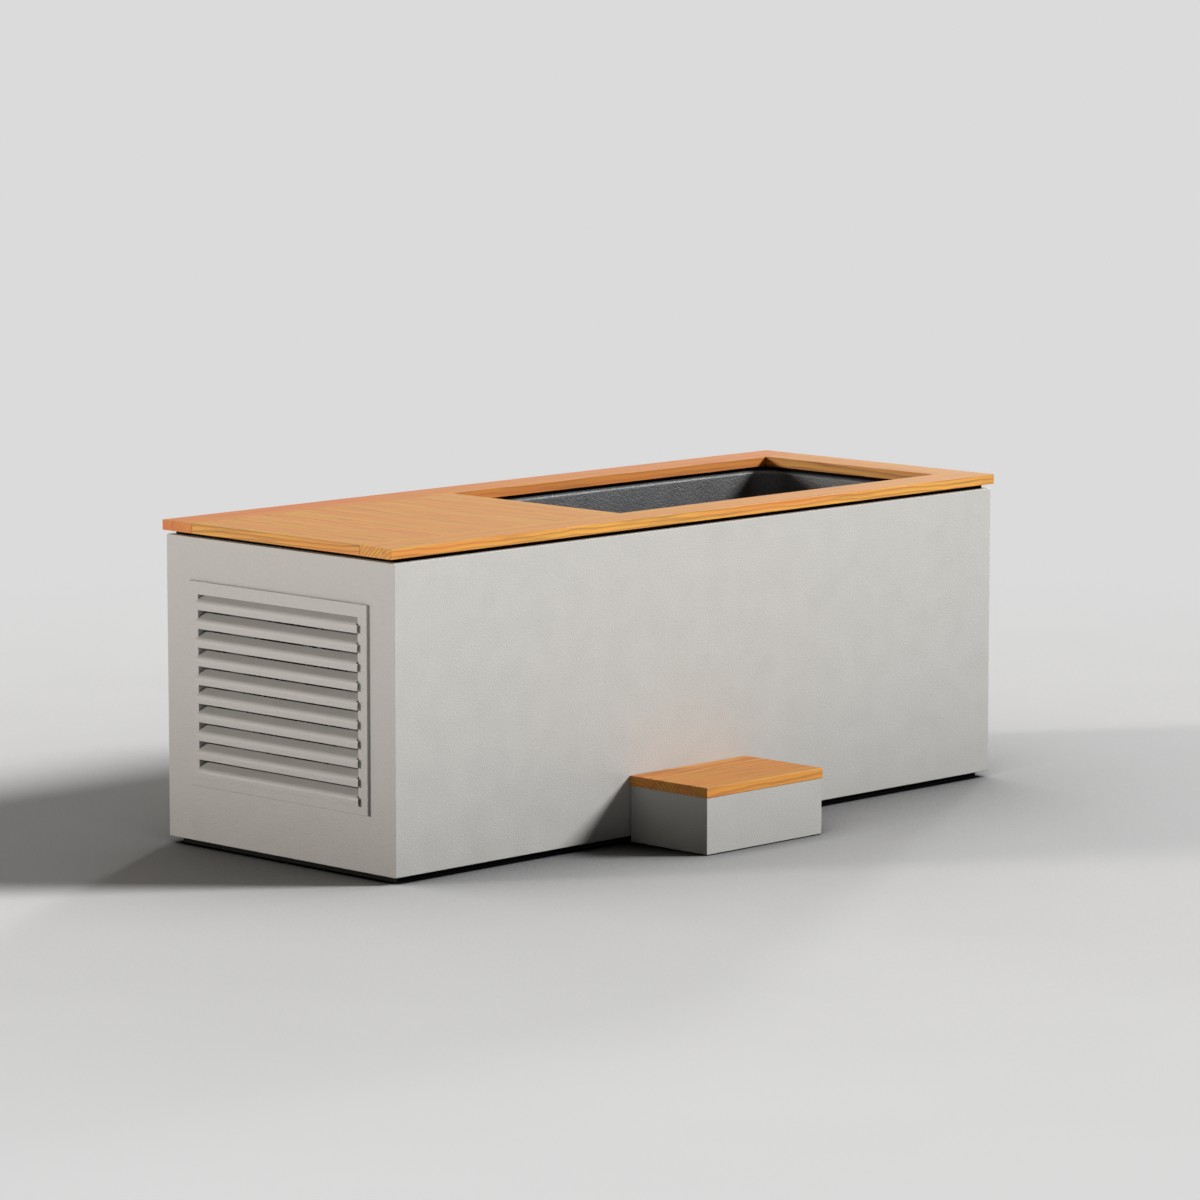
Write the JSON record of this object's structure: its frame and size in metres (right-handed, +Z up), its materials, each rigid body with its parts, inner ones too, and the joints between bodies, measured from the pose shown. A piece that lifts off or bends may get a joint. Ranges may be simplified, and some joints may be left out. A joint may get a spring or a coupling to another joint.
{
  "type": "cold plunge tub",
  "caption": "Insulated cold plunge tub with a moulded basin in a timber deck, a chiller bay behind a louvred grille, a lift-off cover and a step.",
  "frame": {"origin": "on the floor at the centre of the casing's footprint, on the underside of the middle plinth bearer", "axes": "+X along the tub away from the louvred end, -Y towards the step, +Z up"},
  "size_m": [2.2265, 1.1313, 0.824],
  "materials": {
    "casing_coat": "fine matt powder coat, light warm grey",
    "oiled_timber": "planed and oiled honey-coloured timber",
    "black_spacer": "matt black plastic strip",
    "plinth_black": "matt black plastic bar",
    "galvanised_sheet": "galvanised steel",
    "bulkhead_board": "grey plastic board",
    "zinc_screws": "zinc plated steel",
    "basin_shell": "satin dark grey moulding",
    "grey_fittings": "dark grey moulded plastic",
    "foam_board": "rigid insulation foam",
    "pvc_pipe": "rigid pressure pipe",
    "brass_valve": "turned brass",
    "lever_coat": "red dipped steel lever",
    "rubber_mounts": "black rubber",
    "chiller_coat": "mid grey powder coat",
    "coil_fins": "bare aluminium fins",
    "compressor_coat": "black painted steel",
    "steel_vessel": "brushed stainless steel",
    "guard_wire": "black coated steel",
    "fan_plastic": "black glass-filled plastic",
    "controller_shell": "dark grey moulded plastic",
    "display_glass": "black display window",
    "button_plastic": "light grey moulded plastic",
    "pump_plastic": "black moulded plastic",
    "pump_motor_coat": "slate painted aluminium",
    "filter_plastic": "white moulded plastic",
    "filter_cap_plastic": "blue moulded plastic",
    "filter_paper": "white pleated polyester",
    "black_gland": "black nylon"
  },
  "bodies": {
    "tub": {"plinth_rails": "plinth_black", "plinth_bearers": "plinth_black", "base_tray": "galvanised_sheet", "frame_long_rails": "galvanised_sheet", "frame_cross_rails": "galvanised_sheet", "frame_posts": "galvanised_sheet", "bulkhead": "bulkhead_board", "front_panel": "casing_coat", "back_panel": "casing_coat", "louvre_panel": "casing_coat", "end_panel": "casing_coat", "grille_frame": "casing_coat", "grille_blades": "casing_coat", "spacer_side_strips": "black_spacer", "spacer_cross_strips": "black_spacer", "deck_front_rail": "oiled_timber", "deck_back_rail": "oiled_timber", "deck_end_rail": "oiled_timber", "deck_screws": "zinc_screws", "basin": "basin_shell", "basin_fittings": "grey_fittings", "fitting_nuts": "grey_fittings", "insulation_walls": "foam_board", "insulation_floor": "foam_board", "drain_sump": "grey_fittings", "drain_pipe": "pvc_pipe", "drain_valve": "brass_valve", "drain_outlet": "brass_valve", "chiller_mounts": "rubber_mounts", "chiller_base": "chiller_coat", "chiller_case": "chiller_coat", "chiller_ports": "grey_fittings", "condenser_coil": "coil_fins", "compressor": "compressor_coat", "heat_exchanger": "steel_vessel", "fan_guard": "guard_wire", "fan_motor": "compressor_coat", "controller_body": "controller_shell", "controller_display": "display_glass", "pump_body": "pump_plastic", "pump_motor": "pump_motor_coat", "filter_housing": "filter_plastic", "filter_cartridge": "filter_paper", "steriliser": "steel_vessel", "water_pipes": "pvc_pipe", "control_box": "controller_shell", "cable_gland": "black_gland"},
    "service_cover": {"cover_boards": "oiled_timber", "cover_battens": "oiled_timber", "cover_screws": "zinc_screws"},
    "step": {"step_panels": "casing_coat", "step_tread": "oiled_timber", "step_screws": "zinc_screws", "step_feet": "rubber_mounts"},
    "fan": {"fan_rotor": "fan_plastic"},
    "drain_lever": {"drain_lever": "lever_coat"},
    "filter_cap": {"filter_cap": "filter_cap_plastic"},
    "button_1": {"controller_button_1": "button_plastic"},
    "button_2": {"controller_button_2": "button_plastic"},
    "button_3": {"controller_button_3": "button_plastic"}
  },
  "joints": [
    {"name": "cover_lift", "type": "slide", "parent": "tub", "child": "service_cover", "axis": [0, 0, 1], "range_m": [0, 0.3]},
    {"name": "step_slide", "type": "slide", "parent": "tub", "child": "step", "axis": [0, -1, 0], "range_m": [0, 0.3]},
    {"name": "fan_spin", "type": "hinge", "parent": "tub", "child": "fan", "pos_m": [-0.978, 0, 0.419], "axis": [1, 0, 0], "continuous": true},
    {"name": "drain_lever_turn", "type": "hinge", "parent": "tub", "child": "drain_lever", "pos_m": [-0.361, 0.29, 0.116], "axis": [0, 0, -1], "range_deg": [0, 90]},
    {"name": "filter_cap_turn", "type": "hinge", "parent": "tub", "child": "filter_cap", "pos_m": [-0.468, 0.16, 0.46], "axis": [0, 0, 1], "range_deg": [0, 60]},
    {"name": "button_1_press", "type": "slide", "parent": "tub", "child": "button_1", "axis": [0, 0, -1], "range_m": [0, 0.0012], "stiffness_N_per_m": 400, "springref_m": -0.0008},
    {"name": "button_2_press", "type": "slide", "parent": "tub", "child": "button_2", "axis": [0, 0, -1], "range_m": [0, 0.0012], "stiffness_N_per_m": 400, "springref_m": -0.0008},
    {"name": "button_3_press", "type": "slide", "parent": "tub", "child": "button_3", "axis": [0, 0, -1], "range_m": [0, 0.0012], "stiffness_N_per_m": 400, "springref_m": -0.0008}
  ]
}
